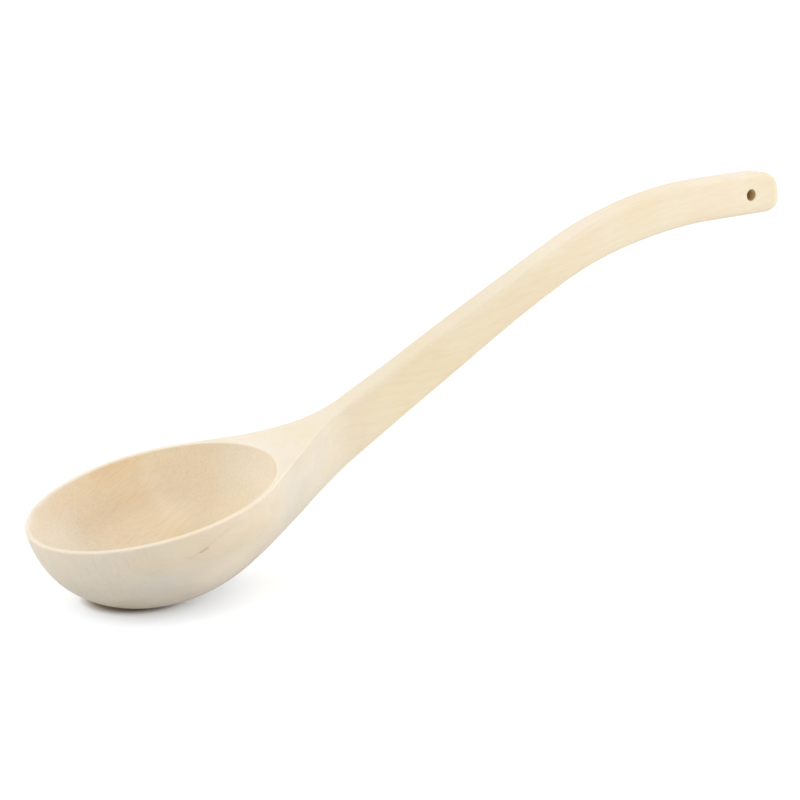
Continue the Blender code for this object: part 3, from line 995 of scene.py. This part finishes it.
def add_camera():
    """Camera at the photograph's viewing angle, so that the rim's middle falls on its pixel."""
    level = Vector((sin(VIEW_AZIMUTH), cos(VIEW_AZIMUTH), 0.0))
    right = Vector((cos(VIEW_AZIMUTH), -sin(VIEW_AZIMUTH), 0.0))
    upright = Vector((0.0, 0.0, 1.0))
    ahead = cos(VIEW_ELEVATION) * level - sin(VIEW_ELEVATION) * upright
    above = sin(VIEW_ELEVATION) * level + cos(VIEW_ELEVATION) * upright
    side_shift = (RIM_PIXEL_X - 0.5 * PICTURE_SIZE) / FOCAL_PIXELS * VIEW_DEPTH
    height_shift = (0.5 * PICTURE_SIZE - RIM_PIXEL_Y) / FOCAL_PIXELS * VIEW_DEPTH
    camera_data = bpy.data.cameras.new("camera")
    camera_data.sensor_width = SENSOR_WIDTH
    camera_data.lens = FOCAL_PIXELS * SENSOR_WIDTH / PICTURE_SIZE
    camera = bpy.data.objects.new("camera", camera_data)
    bpy.context.scene.collection.objects.link(camera)
    place = Vector(rim_place()) - ahead * VIEW_DEPTH - right * side_shift - above * height_shift
    turn = Matrix((right, above, -ahead)).transposed()
    camera.matrix_world = Matrix.Translation(place) @ turn.to_4x4()
    bpy.context.scene.camera = camera


# Light: a dome that is brighter at its foot and at the left and right of the view, and a soft box
ZENITH_LEVEL = 0.66
FOOT_LEVEL = 1.00
LEFT_LEVEL = 1.22
RIGHT_LEVEL = 1.25
SIDE_SPREAD = (0.30, 0.95)
BOX_SIZE = 1.0
BOX_PLACE = (1.00, -0.85, 0.60)
BOX_AIM = (0.33, 0.0, 0.14)
BOX_POWER = 1.5

# Floor: what it throws back, and the colour that the eye sees at each share of the reach from the foot: a
# painted contact shadow where the bowl stands, then painted light that pales the ladle's shadow around it
FLOOR_SIZE = 60.0
FLOOR_BOUNCE = (0.78, 0.78, 0.78)
SEEN_REACH = 0.150
SEEN_MIDDLE = (-0.0034, 0.0036, 0.0)
SEEN_COLOURS_AND_PAINTED_SHADOW = (
    (0.119, (0.42, 0.33, 0.27)),
    (0.164, (1.41, 1.48, 1.57)),
    (0.270, (1.22, 1.28, 1.37)),
    (0.400, (1.23, 1.27, 1.32)),
    (0.600, (1.14, 1.17, 1.20)),
    (1.000, (1.02, 1.03, 1.04)),
)


def seen_ray(start):
    """1 for rays that show the surface: from the camera, in a mirror or through glass."""
    path = start.tree.nodes.new("ShaderNodeLightPath")
    seen = Socket(start.tree, path.outputs["Is Camera Ray"])
    seen = seen.math("MAXIMUM", seen, Socket(start.tree, path.outputs["Is Glossy Ray"]))
    return seen.math("MAXIMUM", seen, Socket(start.tree, path.outputs["Is Transmission Ray"]))


def add_world():
    """Pale dome with a large soft light on either hand. Seen as white.

    It brightens towards its foot by the square of the way down. The lights to the left and
    right of the view fade out with a smooth step of how far a direction points sideways.
    """
    world = bpy.data.worlds.new("studio")
    world.use_nodes = True
    bpy.context.scene.world = world
    background = world.node_tree.nodes["Background"]
    start = Socket(world.node_tree, None)
    direction = start.node("ShaderNodeTexCoord", {}, {}, "Generated")
    rightward = (cos(VIEW_AZIMUTH), -sin(VIEW_AZIMUTH), 0.0)
    aside = direction.vector("DOT_PRODUCT", rightward, "Value")
    height = direction.axes()[2]
    level = ZENITH_LEVEL + (1.0 - height.at_least(0.0)) ** 2.0 * (FOOT_LEVEL - ZENITH_LEVEL)
    level = level + aside.step(*SIDE_SPREAD) * RIGHT_LEVEL + (0.0 - aside).step(*SIDE_SPREAD) * LEFT_LEVEL
    strength = level + seen_ray(start) * (1.0 - level)
    background.inputs["Color"].default_value = (1.0, 1.0, 1.0, 1.0)
    world.node_tree.links.new(strength.output, background.inputs["Strength"])


def add_side_box():
    """Square soft box that faces the handle's end."""
    data = bpy.data.lights.new("side_box", "AREA")
    data.size = BOX_SIZE
    data.energy = BOX_POWER
    box = bpy.data.objects.new("side_box", data)
    box.location = BOX_PLACE
    box.rotation_euler = (Vector(BOX_AIM) - Vector(BOX_PLACE)).to_track_quat("-Z", "Y").to_euler()
    bpy.context.scene.collection.objects.link(box)


def add_floor():
    """Large pale floor under the ladle, white to the eye and still shaded by the ladle.

    To the eye it carries a painted contact shadow where the bowl stands on it and painted light just
    outside, which pales the ladle's own shadow, and from there its colour falls back to a plain white.
    """
    half = 0.5 * FLOOR_SIZE
    mesh = bpy.data.meshes.new("floor")
    corners = [(-half, -half, 0.0), (half, -half, 0.0), (half, half, 0.0), (-half, half, 0.0)]
    mesh.from_pydata(corners, [], [(0, 1, 2, 3)])
    floor = add_object("floor", mesh)
    material, shader, start = new_material("floor")
    coordinates = start.node("ShaderNodeTexCoord", {}, {}, "Object")
    away = coordinates.vector("DISTANCE", SEEN_MIDDLE, "Value") / SEEN_REACH
    # Painted contact shadow under the foot and painted light around it, seen only by the eye
    seen = away.ramp(SEEN_COLOURS_AND_PAINTED_SHADOW)
    colour = seen_ray(start).mix(FLOOR_BOUNCE, seen)
    material.node_tree.links.new(colour.output, shader.inputs["Base Color"])
    shader.inputs["Roughness"].default_value = 1.0
    shader.inputs["Specular IOR Level"].default_value = 0.0
    mesh.materials.append(material)


def light_scene():
    """Plain studio: the dome, the soft box and the floor, seen without any tone curve."""
    bpy.context.scene.view_settings.view_transform = "Standard"
    add_world()
    add_side_box()
    add_floor()


ladle = carve_ladle()
ladle.data.materials.append(wood_material())
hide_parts("ladle")
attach(ladle, "root")
add_camera()
light_scene()
